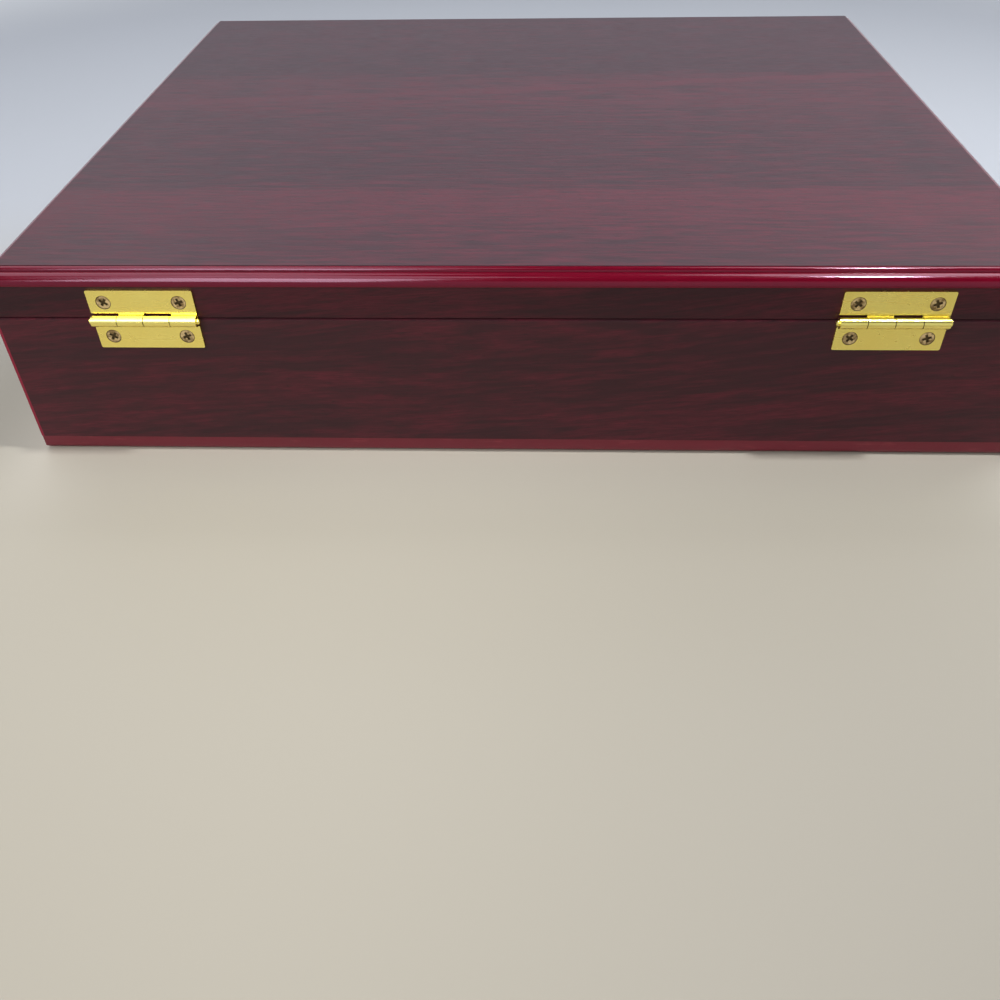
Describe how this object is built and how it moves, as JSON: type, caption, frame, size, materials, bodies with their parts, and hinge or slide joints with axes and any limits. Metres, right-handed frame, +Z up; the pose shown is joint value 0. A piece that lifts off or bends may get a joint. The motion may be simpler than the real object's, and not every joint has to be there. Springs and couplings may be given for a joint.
{
  "type": "keepsake box",
  "caption": "Flat hinged wooden box for papers and keepsakes, with a moulded lid board on mitred rails, a velvet-lined base, brass butt hinges behind and a swing hook in front.",
  "frame": {"origin": "middle of the underside of the bottom board, on the surface the box stands on", "axes": "+Z up, +X along the box's width, hinges towards +Y, front towards -Y"},
  "size_m": [0.361, 0.3121, 0.0734],
  "materials": {
    "mahogany_foil": "satin printed wood-grain foil on fibreboard, dark mahogany",
    "crimson_lacquer": "glossy crimson lacquer on fibreboard",
    "brass_plate": "bright brass plating",
    "dull_brass": "dull antique brass",
    "velvet": "black flocked velvet over thin board"
  },
  "bodies": {
    "base": {"base_lining_back": "velvet", "base_lining_floor": "velvet", "base_lining_front": "velvet", "base_lining_left": "velvet", "base_lining_right": "velvet", "base_panel": "crimson_lacquer", "base_wall_back": "mahogany_foil", "base_wall_front": "mahogany_foil", "base_wall_left": "mahogany_foil", "base_wall_right": "mahogany_foil", "hinge_base_leaf_a": "brass_plate", "hinge_base_leaf_b": "brass_plate", "hinge_base_screws_a": "dull_brass", "hinge_base_screws_b": "dull_brass", "hinge_pin_a": "brass_plate", "hinge_pin_b": "brass_plate", "hook_pivot_stud": "brass_plate"},
    "lid": {"hinge_lid_leaf_a": "brass_plate", "hinge_lid_leaf_b": "brass_plate", "hinge_lid_screws_a": "dull_brass", "hinge_lid_screws_b": "dull_brass", "hook_keeper_stud": "brass_plate", "lid_lining_back": "velvet", "lid_lining_front": "velvet", "lid_lining_left": "velvet", "lid_lining_right": "velvet", "lid_lining_top": "velvet", "lid_panel": "crimson_lacquer", "lid_rail_back": "mahogany_foil", "lid_rail_front": "mahogany_foil", "lid_rail_left": "mahogany_foil", "lid_rail_right": "mahogany_foil", "lid_top_foil": "mahogany_foil"},
    "hook": {"hook": "brass_plate"}
  },
  "joints": [
    {"name": "lid_hinge", "type": "hinge", "parent": "base", "child": "lid", "pos_m": [0, 0.1549, 0.05615], "axis": [-1, 0, 0], "range_deg": [0, 180]},
    {"name": "hook_swing", "type": "hinge", "parent": "base", "child": "hook", "pos_m": [0, -0.15362, 0.049], "axis": [0, -1, 0], "range_deg": [0, 180]}
  ]
}
